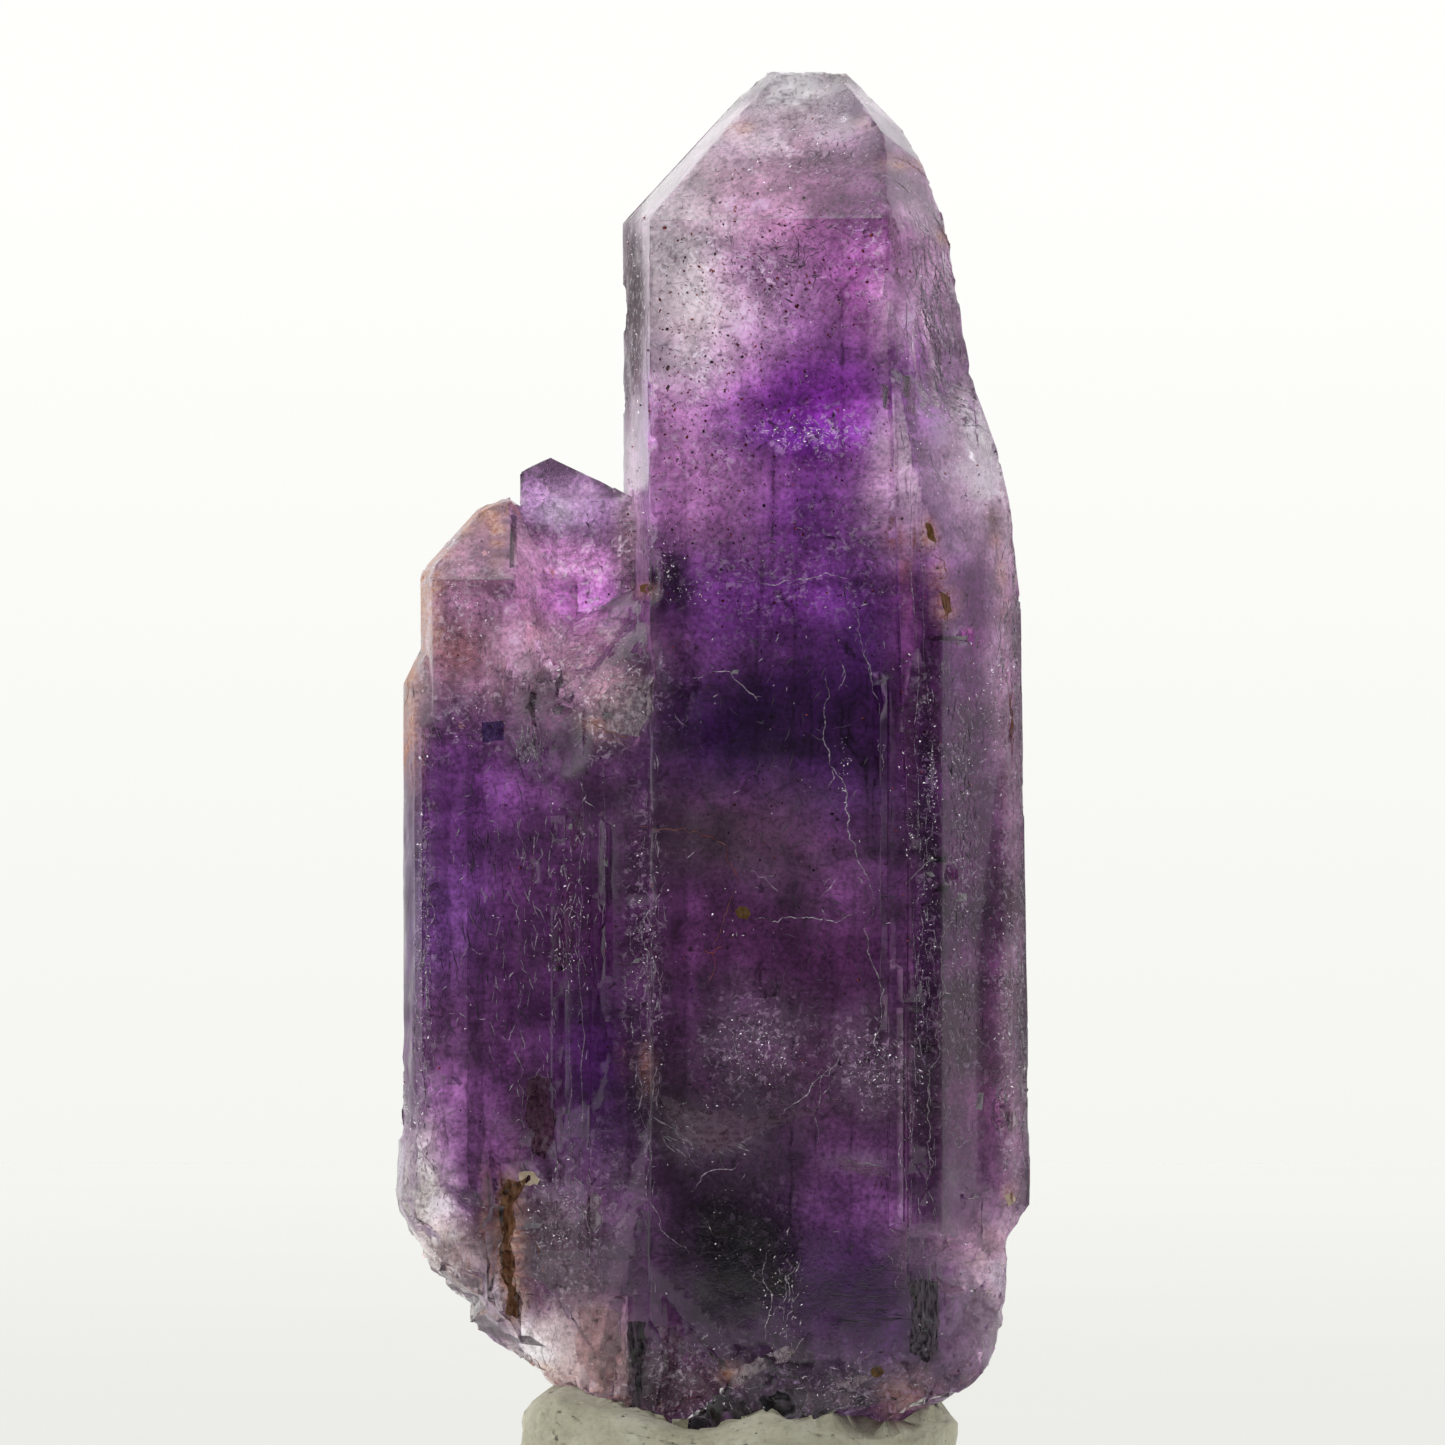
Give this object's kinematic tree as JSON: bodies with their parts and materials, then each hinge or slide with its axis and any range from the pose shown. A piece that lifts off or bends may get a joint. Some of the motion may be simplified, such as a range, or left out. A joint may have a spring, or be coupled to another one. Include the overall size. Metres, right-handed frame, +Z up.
{
  "type": "quartz crystal specimen",
  "caption": "Natural cluster of parallel purple quartz crystals with stepped faces and a broken base, standing upright in a pale lump of putty.",
  "frame": {"origin": "middle of the bounding box's bottom face, on the plane the putty stands on", "axes": "+Z up along the crystals, -Y towards the viewer of the picture, +X to the viewer's right"},
  "size_m": [0.0318, 0.0174, 0.0726],
  "materials": {
    "amethyst": "glossy natural quartz faces with fine growth lines, zoned violet inside",
    "putty": "matt hand-pressed putty with dark specks"
  },
  "bodies": {
    "root": {"amethyst_crystal": "amethyst", "mounting_putty": "putty"}
  },
  "joints": []
}
